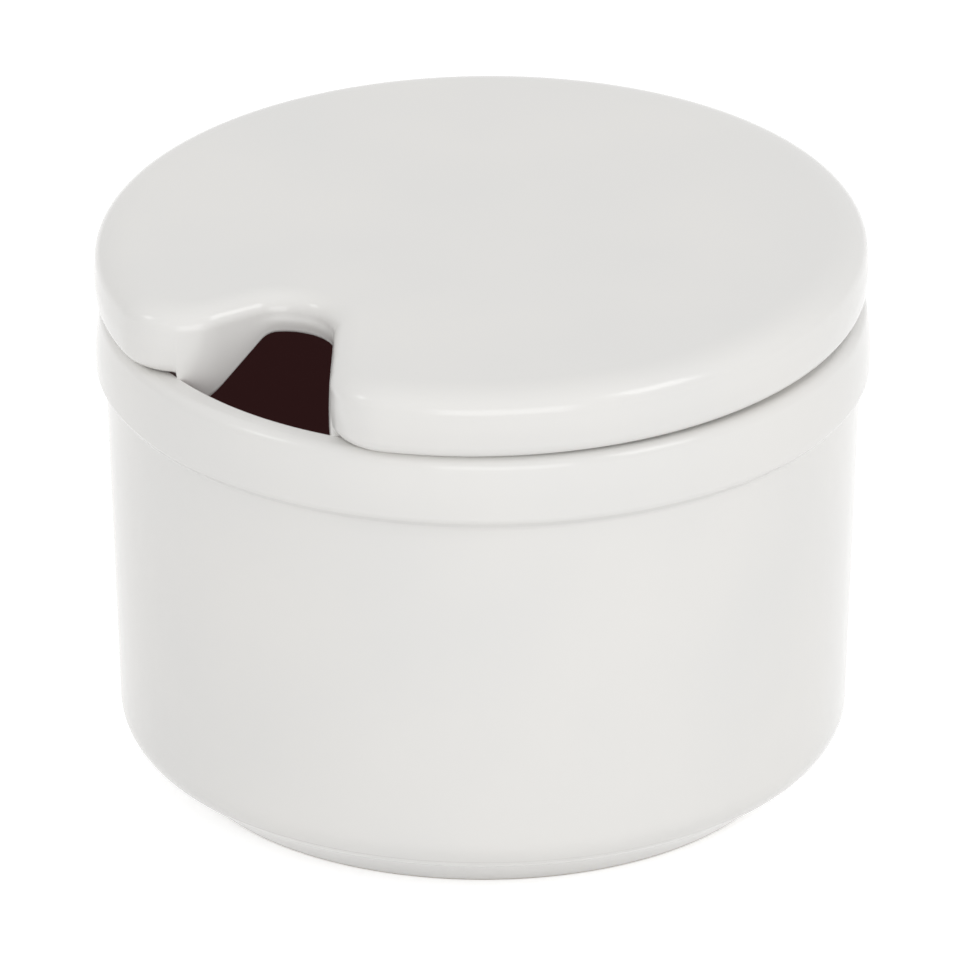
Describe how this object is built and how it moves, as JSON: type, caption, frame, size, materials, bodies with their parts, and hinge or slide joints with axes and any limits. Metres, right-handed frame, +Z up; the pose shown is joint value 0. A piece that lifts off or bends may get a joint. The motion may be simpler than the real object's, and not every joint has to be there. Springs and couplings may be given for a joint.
{
  "type": "lidded condiment pot",
  "caption": "Round glazed white porcelain table pot with a rolled rim, a low foot ring and a loose thick lid with a spoon notch.",
  "frame": {"origin": "on the table, at the centre of the foot ring, on the pot's axis", "axes": "+Z up along the pot's axis, -Y towards the lid's spoon notch, +X to the right seen from the notch"},
  "size_m": [0.092, 0.092, 0.0676],
  "materials": {
    "pot_glaze": "glossy white glaze, dark glaze inside, bare foot ring",
    "lid_glaze": "glossy white glaze, bare seat ring below"
  },
  "bodies": {
    "pot": {"pot_body": "pot_glaze"},
    "lid": {"lid": "lid_glaze"}
  },
  "joints": [
    {"name": "lid_lift", "type": "slide", "parent": "pot", "child": "lid", "axis": [0, 0, 1], "range_m": [0, 0.08]}
  ]
}
